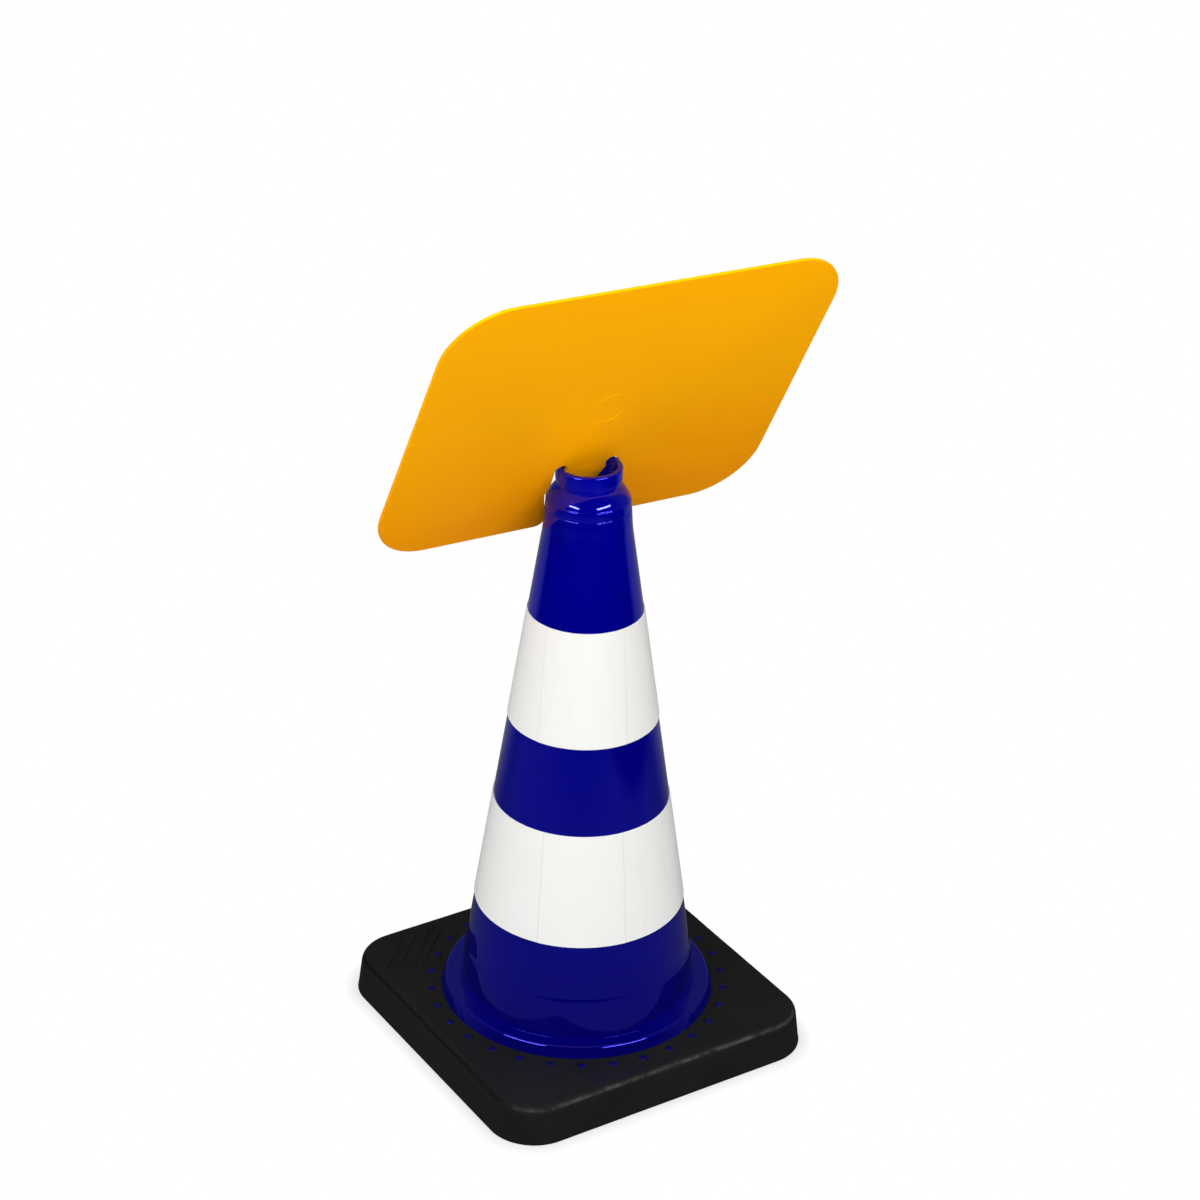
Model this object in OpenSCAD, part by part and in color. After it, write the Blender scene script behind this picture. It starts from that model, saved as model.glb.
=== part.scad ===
// Traffic cone with a square weight base, two reflective sleeves
// and a loose sign board whose tongue stands in the mouth of the cone.
// All sizes are in millimetres. The floor is z = 0 and the cone's axis is the Z axis.

/* [Base] */
// Side of the square base at the floor
base_side = 288; // [280:1:330]
// Height of the base
base_height = 32; // [24:0.5:40]
// Corner radius of the base in plan
base_corner_radius = 39.5; // [30:0.5:60]
// Rounding of the top edge of the base
base_edge_radius = 7; // [3:0.5:10]
// How far each side leans in from the floor up to the edge rounding
base_side_draft = 3; // [0.5:0.5:5]
// Width of base left round the anchor ring
base_rim = 14; // [12:0.5:20]

/* [Cone] */
// Height of the cone's rim above the floor
cone_height = 502.5; // [460:0.5:560]
// Thickness of the cone's wall
cone_wall = 2.6; // [2:0.1:3.5]
// Height of the crease ring above the base
crease_rise = 41.5; // [25:0.5:60]
// Depth of the crease ring
crease_depth = 0.6; // [0.3:0.1:1]
// Width of the foot flange, from the cone's wall outwards
foot_flange_width = 14; // [12:0.1:20]
// Height of the foot flange above the base
foot_flange_height = 8.5; // [6:0.5:12]
// How far the foot flange's side leans in from the base up to its top
foot_flange_lean = 4; // [1:0.5:5]
// Rounding of the foot flange's edge
foot_flange_edge = 3; // [1.5:0.5:4]
// Fillet between the foot flange and the cone's wall
foot_fillet = 1.2; // [0.8:0.1:3]

/* [Cone top] */
// Outer radius at the lower end of the collar
collar_bottom_radius = 34.7; // [30:0.1:40]
// Height of the collar
collar_height = 25.5; // [20:0.5:32]
// How far the collar narrows from its lower end to its upper end
collar_narrowing = 1.8; // [1:0.1:3]
// Depth of the small step at the top of the collar
collar_step = 0.8; // [0.4:0.1:1.2]
// Drop from the collar's upper end to the fine line round it
collar_line_drop = 7.5; // [4:0.5:12]
// Depth of the fine line round the collar
collar_line_depth = 0.3; // [0.2:0.1:0.5]
// Height of the sloping shoulder above the collar's step
shoulder_rise = 10.4; // [8:0.1:12]
// Width of the sloping shoulder, from the neck outwards
shoulder_width = 8.1; // [6:0.1:10]
// How far the shoulder bulges out from a straight slope
shoulder_bulge = 1; // [0.5:0.1:1.5]
// Height of the neck between the shoulder and the rim bead
neck_height = 1.8; // [1.5:0.1:4]
// Thickness of the neck's wall
neck_wall = 1.8; // [1.5:0.1:2.5]
// How far the rim bead stands out from the neck
bead_overhang = 2; // [1.5:0.1:3]
// Height of the rim bead
bead_height = 13.5; // [10:0.5:14]
// Height of the bead's rounded underside
bead_underside = 4.5; // [3:0.5:5]
// Rounding of the bead's top edge
bead_top_rounding = 2.2; // [1:0.1:2.5]
// How far the rim's lip stands in from the bore
rim_lip = 1.2; // [0.6:0.1:1.4]
// Height of the rim's lip
rim_lip_height = 4; // [3:0.5:4.5]

/* [Anchor ring] */
// Thickness of the ring of the cone that lies under the base
anchor_thickness = 6; // [4:0.5:9]
// Height of the anchor ring's underside above the floor
anchor_floor_gap = 1.5; // [1:0.5:4]
// Number of studs that stand up from the anchor ring
stud_count = 30; // [24:1:36]
// Diameter of a stud
stud_diameter = 6; // [5:0.1:7]
// Distance from the anchor ring's edge in to the circle of studs
stud_inset = 9; // [7:0.5:12]
// Distance from the circle of studs in to the foot flange
flange_inset = 9; // [6:0.5:12]

/* [Reflective sleeves] */
// Height of the bare cone below the lower sleeve
foot_band = 88; // [75:0.5:100]
// Height of the bare cone between the sleeves
middle_band = 72.5; // [60:0.5:90]
// Height of the bare cone between the upper sleeve and the collar
top_band = 70; // [55:0.5:85]
// Thickness of a sleeve
sleeve_thickness = 0.6; // [0.4:0.1:1]

/* [Sign board] */
// Width of the sign board
board_width = 337; // [300:1:380]
// Height of the sign board
board_height = 272; // [240:1:320]
// Corner radius of the sign board
board_corner_radius = 50; // [30:1:60]
// Thickness of the sign board
board_thickness = 3; // [2:0.1:4]
// How far the board reaches below the lower end of the collar
board_hang = 11.3; // [9:0.1:15]
// How far the board's middle lies to the right of its tongue
board_side_offset = -2.6; // [-8:0.1:8]
// How much wider each side of the tongue is at its root than where it leaves the bore
tongue_flare = 2.2; // [1.5:0.1:3.5]
// Depth of the tongue's widest place below the rim
tongue_barb_depth = 8; // [6:0.5:10]
// Corner radius at the tongue's tip
tongue_tip_radius = 9; // [5:0.5:11]
// Height of the slots' round tops above the rim, measured up the board
slot_rise = 1.5; // [1.5:0.1:3]
// Radius of the round corners at the slots' mouth
mouth_radius = 7.5; // [4:0.5:10]
// Radius of the moulded ring on the back of the board
gate_ring_radius = 14.8; // [10:0.1:18]
// Height of the moulded ring on the back of the board
gate_ring_height = 0.4; // [0.3:0.1:0.8]

/* [Sign face] */
// Thickness of the face film
film_thickness = 0.4; // [0.2:0.1:0.8]
// Margin of board left round the film
film_margin = 6; // [4:0.5:12]
// Height of the film's lower edge above the rim, measured up the board
film_rise = 16; // [12:0.5:30]

/* [Sign pose] */
// Turn of the sign about the cone's axis
sign_heading = -2.2; // [-10:0.1:10]
// Lean of the sign from upright
sign_lean = 27.7; // [26:0.1:29]
// Sideways slump of the sign in its slots
sign_roll = -2; // [-3:0.1:3]
// Sideways shift of the sign in its slots, at the rim
sign_shift = 0.2; // [-1:0.1:1]
// How far the board's back lies behind the middle of the rim
sign_set_back = 2.2; // [1.5:0.1:3]

/* [Fits] */
// Gap round the cone and its studs where they stand in the base
anchor_clearance = 0.3; // [0.2:0.05:0.5]
// Layer of glue between a sleeve and the cone
glue_gap = 0.15; // [0.1:0.05:0.3]
// Room between the board's slots and the shoulder that carries it
slot_clearance = 0.45; // [0.45:0.05:0.8]
// Room between the tongue and the bore
tongue_clearance = 0.6; // [0.4:0.1:1]
// Room between the tongue's tip and the inside of the collar
tongue_tip_room = 4.1; // [3:0.1:8]
// Play between the slots and the rim bead
bead_play = 1.8; // [1.8:0.1:4]
// Play between the slots' narrowest place and the rim bead
waist_play = 0.4; // [0.3:0.1:1]
// Play between the slots' mouth and the cone
mouth_play = 11; // [8:0.5:15]

/* [Hidden] */
$fn = 96;

arc_steps = 10;
edge_steps = 5;
stud_facets = 32;
over = 1;
anchor_top = anchor_floor_gap + anchor_thickness;
corner_place = base_side / 2 - base_corner_radius;
anchor_radius = base_side / 2 - base_rim;
stud_circle_radius = anchor_radius - stud_inset;
foot_flange_radius = stud_circle_radius - flange_inset;
cone_foot_radius = foot_flange_radius - foot_flange_width;

bead_z = cone_height - bead_height;
neck_z = bead_z - neck_height;
shoulder_z = neck_z - shoulder_rise;
collar_top_z = shoulder_z - collar_step;
collar_bottom_z = collar_top_z - collar_height;
collar_line_z = collar_top_z - collar_line_drop;
ceiling_z = neck_z - cone_wall;
collar_top_radius = collar_bottom_radius - collar_narrowing;
shoulder_radius = collar_top_radius - collar_step;
neck_radius = shoulder_radius - shoulder_width;
bead_radius = neck_radius + bead_overhang;
bore_radius = neck_radius - neck_wall;
lip_radius = bore_radius - rim_lip;
lip_z = cone_height - rim_lip_height;
hollow_top_radius = shoulder_radius - cone_wall;
shoulder_slant = norm([shoulder_rise, shoulder_width]);
hollow_top_z = ceiling_z - (hollow_top_radius - bore_radius) * shoulder_rise / shoulder_width;

lower_sleeve_z = base_height + foot_band;
sleeve_width = (collar_bottom_z - top_band - middle_band - lower_sleeve_z) / 2;
upper_sleeve_z = lower_sleeve_z + sleeve_width + middle_band;

cone_taper = (cone_foot_radius - collar_bottom_radius) / (collar_bottom_z - base_height);
collar_taper = collar_narrowing / collar_height;
crease_z = base_height + crease_rise;

// Points of an arc or of a quarter ellipse, from one angle to another
function arc(cx, cy, rx, ry, a0, a1) =
    [for (i = [0 : arc_steps])
        let (a = a0 + (a1 - a0) * i / arc_steps)
        [cx + rx * cos(a), cy + ry * sin(a)]];

// Outer radius of the cone's wall and of its collar at a height
function wall_radius(z) = cone_foot_radius - cone_taper * (z - base_height);
function collar_radius(z) = collar_bottom_radius - collar_taper * (z - collar_bottom_z);

// Radius and height of the shoulder's outside, from the collar's step (0) to the neck (1)
function shoulder_point(t) =
    let (bulge = 4 * shoulder_bulge * t * (1 - t) / shoulder_slant)
    [shoulder_radius - shoulder_width * t + shoulder_rise * bulge,
     shoulder_z + shoulder_rise * t + shoulder_width * bulge];

// Half of the chord that a plane cuts from a circle at a distance from its centre
function half_chord(radius, distance) = sqrt(max(0, radius * radius - distance * distance));

// Section through one side of the base, from the corner's centre outwards
edge_z = base_height - base_edge_radius;
side_angle = atan(base_side_draft / edge_z);
edge_x = base_corner_radius - base_side_draft - base_edge_radius / cos(side_angle);
base_section = concat(
    [[0, 0], [base_corner_radius, 0]],
    arc(edge_x, edge_z, base_edge_radius, base_edge_radius, side_angle, 90),
    [[0, base_height]]);

module base_block() {
    translate([-corner_place, -corner_place, 0])
        cube([2 * corner_place, 2 * corner_place, base_height]);
    for (turn = [0 : 90 : 270])
        rotate(turn) {
            translate([corner_place, 0, 0])
                rotate([90, 0, 0])
                    linear_extrude(height = 2 * corner_place, center = true)
                        polygon(base_section);
            translate([corner_place, corner_place, 0])
                rotate_extrude(angle = 90)
                    polygon(base_section);
        }
}

module stud_ring(diameter, low, high) {
    for (i = [0 : stud_count - 1])
        rotate(i * 360 / stud_count)
            translate([stud_circle_radius, 0, low])
                cylinder(d = diameter, h = high - low, $fn = stud_facets);
}

// Black weight base, with a recess below for the anchor ring
module base() {
    color([0.09, 0.09, 0.09])
        difference() {
            base_block();
            translate([0, 0, -over])
                cylinder(r = anchor_radius + anchor_clearance, h = anchor_top + over);
            translate([0, 0, anchor_top - over])
                cylinder(r1 = wall_radius(anchor_top - over) + anchor_clearance,
                         r2 = wall_radius(base_height + over) + anchor_clearance,
                         h = base_height - anchor_top + 2 * over);
            stud_ring(stud_diameter + 2 * anchor_clearance, anchor_top - over, base_height + over);
        }
}

// Section of the cone, up the outside from the anchor ring to the rim and down the hollow inside
flange_top = base_height + foot_flange_height;
flange_angle = atan(foot_flange_lean / foot_flange_height);
flange_edge_z = flange_top - foot_flange_edge;
flange_edge_x = foot_flange_radius - (flange_edge_z - base_height) * tan(flange_angle)
    - foot_flange_edge / cos(flange_angle);
foot_slant = sqrt(1 + cone_taper * cone_taper);
fillet_z = flange_top + foot_fillet;
fillet_x = wall_radius(fillet_z) + crease_depth + foot_fillet * foot_slant;
rim_rounding = min(bead_top_rounding, (bead_radius - lip_radius) / 2);
cone_outside = concat(
    [[wall_radius(anchor_floor_gap) - cone_wall, anchor_floor_gap],
     [anchor_radius, anchor_floor_gap],
     [anchor_radius, anchor_top],
     [wall_radius(anchor_top), anchor_top],
     [wall_radius(base_height), base_height],
     [foot_flange_radius, base_height]],
    arc(flange_edge_x, flange_edge_z, foot_flange_edge, foot_flange_edge, flange_angle, 90),
    arc(fillet_x, fillet_z, foot_fillet, foot_fillet, 270, 180 + atan(cone_taper)),
    [[wall_radius(crease_z) + crease_depth, crease_z],
     [wall_radius(crease_z + crease_depth), crease_z + crease_depth],
     [collar_bottom_radius, collar_bottom_z],
     [collar_radius(collar_line_z - collar_line_depth), collar_line_z - collar_line_depth],
     [collar_radius(collar_line_z) - collar_line_depth, collar_line_z],
     [collar_radius(collar_line_z + collar_line_depth), collar_line_z + collar_line_depth],
     [collar_top_radius, collar_top_z]],
    [for (i = [0 : arc_steps]) shoulder_point(i / arc_steps)],
    arc(neck_radius, bead_z + bead_underside, bead_overhang, bead_underside, 270, 360),
    arc(bead_radius - rim_rounding, cone_height - rim_rounding, rim_rounding, rim_rounding, 0, 90),
    arc(lip_radius + rim_rounding, cone_height - rim_rounding, rim_rounding, rim_rounding, 90, 180));
cone_inside = [
    [lip_radius, lip_z],
    [bore_radius, lip_z - rim_lip],
    [bore_radius, ceiling_z],
    [hollow_top_radius, hollow_top_z],
    [collar_bottom_radius - cone_wall, collar_bottom_z]];

// Blue cone, moulded in one with its foot, anchor ring, studs and rim
module cone() {
    color([0.04, 0.03, 0.5]) {
        rotate_extrude()
            polygon(concat(cone_outside, cone_inside));
        stud_ring(stud_diameter, anchor_top - over, base_height);
    }
}

// White reflective sleeve, glued round the cone
module sleeve(low) {
    high = low + sleeve_width;
    color([0.93, 0.93, 0.91])
        rotate_extrude()
            polygon([
                [wall_radius(low) + glue_gap, low],
                [wall_radius(low) + glue_gap + sleeve_thickness, low],
                [wall_radius(high) + glue_gap + sleeve_thickness, high],
                [wall_radius(high) + glue_gap, high]]);
}

module lower_sleeve() {
    sleeve(lower_sleeve_z);
}

module upper_sleeve() {
    sleeve(upper_sleeve_z);
}

// The sign's own frame: x across the board, y up the board from the rim, z out of its back
module in_sign_place() {
    translate([0, 0, cone_height])
        rotate([0, 0, sign_heading])
            rotate([90 + sign_lean, 0, 0])
                translate([sign_shift, 0, -sign_set_back])
                    rotate([0, 0, sign_roll])
                        children();
}

// Distance of the board's back and front from the axis, and place down the board, at a height
function back_distance(z) = (cone_height - z) * tan(sign_lean) + sign_set_back / cos(sign_lean);
function front_distance(z) = back_distance(z) + board_thickness / cos(sign_lean);
function board_place(z) = (cone_height - z) / cos(sign_lean) + sign_set_back * tan(sign_lean);

// Sideways place of the cone's axis in the sign's frame at a height
function axis_x(z) = -board_place(z) * tan(sign_roll) - sign_shift;

// Edge of the opening that lets the cone through at a height, on the right (1) or the left side (-1)
function edge_point(radius, z, side) =
    let (x = axis_x(z) + side * half_chord(radius + slot_clearance, back_distance(z)))
    [x, -board_place(z) - x * sin(sign_roll)];

// Half-width of the tongue that the bore takes at a height
function tongue_half_at(z) =
    half_chord(bore_radius, front_distance(z)) - tongue_clearance - abs(axis_x(z));

barb_z = cone_height - tongue_barb_depth;
barb_half = tongue_half_at(barb_z);
tongue_half = tongue_half_at(ceiling_z);
tongue_root_half = tongue_half + tongue_flare;
tongue_tip_distance = half_chord(hollow_top_radius, tongue_half - tongue_tip_radius) - tongue_tip_room;
face_set_back = (sign_set_back + board_thickness) * cos(sign_lean);
tongue_length = (tongue_tip_distance - face_set_back) / sin(sign_lean);
slot_half = bead_radius + bead_play;
slot_round = (slot_half - tongue_root_half) / 2;
slot_top = slot_rise - sign_set_back * tan(sign_lean);
slot_spring = slot_top - slot_round;
waist_half = bead_radius + waist_play;
board_low_z = collar_bottom_z - board_hang;
board_drop = board_place(board_low_z);
mouth_half = half_chord(wall_radius(board_low_z), back_distance(board_low_z)) + mouth_play;

// One side's edge of the opening, from the shoulder down to the mouth
function shoulder_edge(side) = [for (i = [edge_steps : -1 : 0])
    let (place = shoulder_point(i / edge_steps),
         point = edge_point(place[0], place[1], side))
    [side * max(waist_half, side * point[0]), point[1]]];
function collar_edge(side) = [for (i = [0 : edge_steps])
    let (z = collar_top_z - collar_height * i / edge_steps)
    edge_point(collar_radius(z), z, side)];
mouth_corner = concat(
    arc(mouth_half + mouth_radius, mouth_radius - board_drop, mouth_radius, mouth_radius, 180, 270),
    [[mouth_half + mouth_radius, -board_drop - over]]);
function mouth_edge(side) = [for (point = mouth_corner) [side * point[0], point[1]]];

// Outline with round corners, given as its middle, size and corner radii
function rounded_outline(x, low, width, height, top_radius, low_radius) = concat(
    arc(x + width / 2 - top_radius, low + height - top_radius, top_radius, top_radius, 0, 90),
    arc(x - width / 2 + top_radius, low + height - top_radius, top_radius, top_radius, 90, 180),
    arc(x - width / 2 + low_radius, low + low_radius, low_radius, low_radius, 180, 270),
    arc(x + width / 2 - low_radius, low + low_radius, low_radius, low_radius, 270, 360));

// One slot's side of the opening, from the middle line outwards
module slot_side(side) {
    polygon(concat(
        [[0, -board_drop - over], [0, slot_spring], [side * slot_half, slot_spring]],
        shoulder_edge(side),
        collar_edge(side),
        mouth_edge(side)));
    polygon(arc(side * (tongue_root_half + slot_round), slot_spring, slot_round, slot_round, 0, 180));
}

module tongue_outline() {
    polygon(concat(
        [[tongue_half, -board_place(ceiling_z)],
         [barb_half, -board_place(barb_z)],
         [tongue_root_half, slot_spring],
         [tongue_root_half, slot_top + over],
         [-tongue_root_half, slot_top + over],
         [-tongue_root_half, slot_spring],
         [-barb_half, -board_place(barb_z)],
         [-tongue_half, -board_place(ceiling_z)]],
        arc(tongue_tip_radius - tongue_half, tongue_tip_radius - tongue_length,
            tongue_tip_radius, tongue_tip_radius, 180, 270),
        arc(tongue_half - tongue_tip_radius, tongue_tip_radius - tongue_length,
            tongue_tip_radius, tongue_tip_radius, 270, 360)));
}

module board_outline() {
    difference() {
        polygon(rounded_outline(board_side_offset, -board_drop, board_width, board_height,
                                board_corner_radius, board_corner_radius));
        difference() {
            union() {
                slot_side(1);
                slot_side(-1);
            }
            tongue_outline();
        }
    }
}

// Yellow sign board, with its tongue between two slots
module sign_board() {
    color([0.95, 0.62, 0.01])
        in_sign_place() {
            translate([0, 0, -board_thickness])
                linear_extrude(height = board_thickness)
                    board_outline();
            translate([board_side_offset, board_height / 2 - board_drop, 0])
                rotate_extrude()
                    translate([gate_ring_radius, 0])
                        square([gate_ring_height, gate_ring_height]);
        }
}

// Plain film on the face of the sign board
module sign_face_film() {
    color([0.96, 0.7, 0.05])
        in_sign_place()
            translate([0, 0, -board_thickness - film_thickness])
                linear_extrude(height = film_thickness)
                    polygon(rounded_outline(board_side_offset, film_rise, board_width - 2 * film_margin,
                                            board_height - board_drop - film_margin - film_rise,
                                            board_corner_radius - film_margin, film_margin));
}

base();
cone();
lower_sleeve();
upper_sleeve();
sign_board();
sign_face_film();
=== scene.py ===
import math

import bpy
from mathutils import Matrix, Vector, noise
from mathutils.geometry import delaunay_2d_cdt


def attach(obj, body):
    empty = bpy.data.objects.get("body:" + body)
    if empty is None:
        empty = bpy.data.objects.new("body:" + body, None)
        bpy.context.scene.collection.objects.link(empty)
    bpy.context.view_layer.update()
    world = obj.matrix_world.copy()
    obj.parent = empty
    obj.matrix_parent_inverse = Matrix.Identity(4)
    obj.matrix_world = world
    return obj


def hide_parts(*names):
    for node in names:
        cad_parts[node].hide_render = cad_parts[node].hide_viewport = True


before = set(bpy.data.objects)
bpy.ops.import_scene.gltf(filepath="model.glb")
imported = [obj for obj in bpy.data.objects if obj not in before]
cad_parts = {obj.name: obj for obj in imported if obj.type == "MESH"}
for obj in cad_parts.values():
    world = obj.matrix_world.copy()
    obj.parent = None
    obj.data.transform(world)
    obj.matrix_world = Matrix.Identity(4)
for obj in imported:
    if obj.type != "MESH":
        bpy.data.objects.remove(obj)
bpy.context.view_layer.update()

# Sizes in millimetres. The floor is z = 0 and the cone's axis is the Z axis.
MM = 0.001

# Base
BASE_SIDE = 288.0
BASE_HEIGHT = 32.0
BASE_CORNER = 39.5
BASE_EDGE = 7.0
BASE_DRAFT = 3.0
BASE_FOOT_EDGE = 0.8
BASE_SIDE_RINGS = (5, 10, 15, 20)
RECESS_RADIUS = 130.3
RECESS_TOP = 7.5
STUD_COUNT = 30
STUD_CIRCLE = 121.0
STUD_RADIUS = 3.0
STUD_HOLE = 3.3
STUD_LIFT = 0.5
STUD_LIFT_SPREAD = 0.25
STUD_DISH = 0.35
CONE_HOLE_ROOM = 0.3
RUBBER_DENT_SPAN = 24.0
RUBBER_DENT = 0.18
RUBBER_FINE_DENT = 0.07

# Plain relief on the flat top of the base: bars by their ends, and pips
RELIEF_BARS = (
    ((-97, 126), (-125, 98)),
    ((-85, 125), (-117, 94)),
    ((-72, 125), (-104, 93)),
    ((-60, 125), (-92, 93)),
)
RELIEF_PIPS = ((-101, 84), (-125, 68), (-112, 76), (-66, 128))
RELIEF_SINK = 1.2
BAR_WIDTH = 5.0
BAR_RISE = 0.7
PIP_WIDTH = 4.4
PIP_LENGTH = 0.6
PIP_RISE = 0.8
ARC_MARK_MIDDLE = (104, -103)
ARC_MARK_RADIUS = 12.0
ARC_MARK_WIDTH = 1.0
ARC_MARK_RISE = 0.4

# Cone
CONE_HEIGHT = 502.5
CONE_WALL = 2.6
FOOT_RADIUS = 98.0
ANCHOR_RADIUS = 130.0
ANCHOR_LOW = 1.5
FLANGE_RADIUS = 112.0
FLANGE_HEIGHT = 8.5
FLANGE_LEAN = 4.0
FLANGE_EDGE = 3.0
FLANGE_FLAT = 3.0
FOOT_FILLET = 0.4
FOOT_RINGS = (48, 54, 60, 66)
CREASE_Z = 73.5
CREASE_DEPTH = 0.6
CREASE_WIDTH = 6.0
COLLAR_LOW_Z = 450.5
COLLAR_LOW_RADIUS = 34.7
COLLAR_RING_Z = 460.0
COLLAR_TOP_Z = 476.0
COLLAR_TOP_RADIUS = 32.9
COLLAR_STEP = 0.8
COLLAR_ROUNDING = 1.6
COLLAR_LINE_Z = 468.5
COLLAR_LINE_DEPTH = 0.35
COLLAR_LINE_WIDTH = 1.4
SHOULDER_RISE = 10.4
SHOULDER_WIDTH = 8.1
SHOULDER_BULGE = 1.0
NECK_RADIUS = 24.0
NECK_HEIGHT = 1.8
BEAD_HEIGHT = 13.5
BEAD_OVERHANG = 2.0
BEAD_UNDERSIDE = 4.5
BEAD_ROUNDING = 2.2
BORE_RADIUS = 22.2
LIP_RADIUS = 21.0
LIP_Z = 498.5
BORE_RING_RISE = 6.0
HOLLOW_RINGS = (400, 300, 200, 100)
WALL_TAPER = (FOOT_RADIUS - COLLAR_LOW_RADIUS) / (COLLAR_LOW_Z - BASE_HEIGHT)

# Sleeves
LOWER_SLEEVE_Z = 120.0
UPPER_SLEEVE_Z = 286.5
SLEEVE_WIDTH = 94.0
SLEEVE_GLUE = 0.15
SLEEVE_THICKNESS = 0.6
SLEEVE_EDGE = 0.25
SLEEVE_WAVE = 0.05
SLEEVE_LAP = 0.22

# Where each film laps: its middle and width, and how much it narrows downwards, in degrees
LOWER_LAP = (-120.5, 51, 3)
UPPER_LAP = (-122.5, 79, 7)

# Sign
BOARD_THICKNESS = 3.0
BOARD_EDGE = 0.6
BOARD_MIDDLE = (-2.6, 63.4)
GATE_RING_RADIUS = 15.0
GATE_RING_RISE = 0.38
GATE_MARK_WIDTH = 1.6
GATE_MARK_RISE = 0.4
FILM_THICKNESS = 0.4
FILM_EDGE_ROUNDING = 0.12
FILM_GLUE = 0.01
BORDER_RISE = 0.06
BORDER_OUTER_INSET = 4.0
BORDER_INNER_INSET = 13.0
BORDER_DEPTH = 0.15

# How the sign stands on the cone: angles in degrees, then shifts
SIGN_HEADING = -2.2
SIGN_LEAN = 27.7
SIGN_ROLL = -2.0
SIGN_SHIFT = 0.2
SIGN_SET_BACK = 2.2

# Steps round the turned shapes
LATHE_STEPS = 256
SLEEVE_STEPS = 720
GATE_RING_STEPS = 128
HOLE_STEPS = 180
STUD_STEPS = 28
CORNER_STEPS = 24
SIDE_STEPS = 60

# Points over the flat top of the base, and how far they keep from its edges, studs and flange
TOP_GRID_PITCH = 3.0
TOP_GRID_ROOM = 1.5
STUD_GRID_ROOM = 1.0
FLANGE_GRID_ROOM = 3.0

# Colours: most are pairs between which a surface varies
# The foot's blue is painted shade: the same blue, darkened
SHADED_FOOT_BLUE = ((0.0003, 0.0002, 0.150), (0.0004, 0.0003, 0.170))
TOP_BLUE = ((0.0003, 0.0002, 0.330), (0.0004, 0.0003, 0.360))
BLUE_GLOSS = (0.02, 0.02, 1.0, 1)
STUD_BLUE = ((0.001, 0.001, 0.05), (0.002, 0.002, 0.12))
FILM_COOL_WHITE = (0.83, 0.84, 0.825)
FILM_WHITE = (0.83, 0.83, 0.81)
FILM_STAIN = (0.81, 0.805, 0.77)
FILM_END_GREY = ((0.67, 0.665, 0.635), (0.75, 0.745, 0.715))
RUBBER_BLACK = ((0.006, 0.006, 0.006), (0.011, 0.011, 0.0105))
# Painted shade on the base's edge that faces left
RUBBER_PAINTED_SHADE = (0.0015, 0.0015, 0.0015)
# Pale scuffs and a painted highlight on the base's front edge
RUBBER_SCUFF_AND_HIGHLIGHT = (0.055, 0.055, 0.053)
RUBBER_SPECK = (0.014, 0.014, 0.0135)
# The board's low yellow is painted shade: darker and more orange
SHADED_LOW_YELLOW = ((0.90, 0.310, 0.0001), (0.92, 0.325, 0.0001))
HIGH_YELLOW = ((0.955, 0.400, 0.0001), (0.975, 0.415, 0.0002))
# Painted highlight on the board's edges that face up
EDGE_HIGHLIGHT_YELLOW = (0.98, 0.62, 0.0002)
BOARD_GLOSS = (1.0, 0.4, 0.0, 1)
FACE_YELLOW = ((0.88, 0.44, 0.006), (0.92, 0.47, 0.009))
BORDER_BLACK = ((0.012, 0.012, 0.012), (0.02, 0.02, 0.02))

# Heights in metres over which the cone and the board change colour, as painted shade that darkens them
# lower down
BLUE_SHADE_RISE = (0.05, 0.45)
YELLOW_SHADE_RISE = (0.46, 0.57)


def finish_mesh(name, verts, faces, body, material, node=None, place=None, sharp=32):
    """A piece from points in millimetres, shaded smooth except over sharp edges."""
    points = [MM * Vector(v) for v in verts]
    if place is not None:
        points = [place @ p for p in points]
    mesh = bpy.data.meshes.new(name)
    mesh.from_pydata(points, [], faces)
    mesh.validate()
    mesh.shade_smooth()
    mesh.set_sharp_from_angle(angle=math.radians(sharp))
    mesh.materials.append(material)
    obj = bpy.data.objects.new(name, mesh)
    bpy.context.scene.collection.objects.link(obj)
    bpy.context.view_layer.update()
    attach(obj, body)
    if node:
        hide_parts(node)
    return obj


def arc(cx, cy, rx, ry, start, end, steps):
    """Points of an arc from one angle to another, in degrees."""
    points = []
    for i in range(steps + 1):
        a = math.radians(start + (end - start) * i / steps)
        points.append((cx + rx * math.cos(a), cy + ry * math.sin(a)))
    return points


def ring_faces(columns, count):
    """Quads round a closed ring of columns, each of which is a closed loop of points."""
    faces = []
    for i in range(columns):
        j = (i + 1) % columns
        for k in range(count):
            m = (k + 1) % count
            faces.append((i * count + k, j * count + k, j * count + m, i * count + m))
    return faces


def lathe(profile, steps=LATHE_STEPS):
    """A closed profile of (radius, height) turned about the Z axis."""
    verts = []
    for i in range(steps):
        a = 2 * math.pi * i / steps
        for r, z in profile:
            verts.append((r * math.cos(a), r * math.sin(a), z))
    return verts, ring_faces(steps, len(profile))


def bridge(faces, low, high):
    """Quads between two rings of the same number of points."""
    count = len(low)
    for i in range(count):
        j = (i + 1) % count
        faces.append((low[i], low[j], high[j], high[i]))


def add_ring(verts, points):
    """Adds points and gives their indices."""
    first = len(verts)
    verts.extend(points)
    return list(range(first, len(verts)))


def in_outline(outline, p):
    """True if a point lies inside the outline."""
    inside = False
    for (ax, ay), (bx, by) in zip(outline, outline[1:] + outline[:1]):
        if (ay > p.y) != (by > p.y) and p.x < ax + (bx - ax) * (p.y - ay) / (by - ay):
            inside = not inside
    return inside


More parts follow.
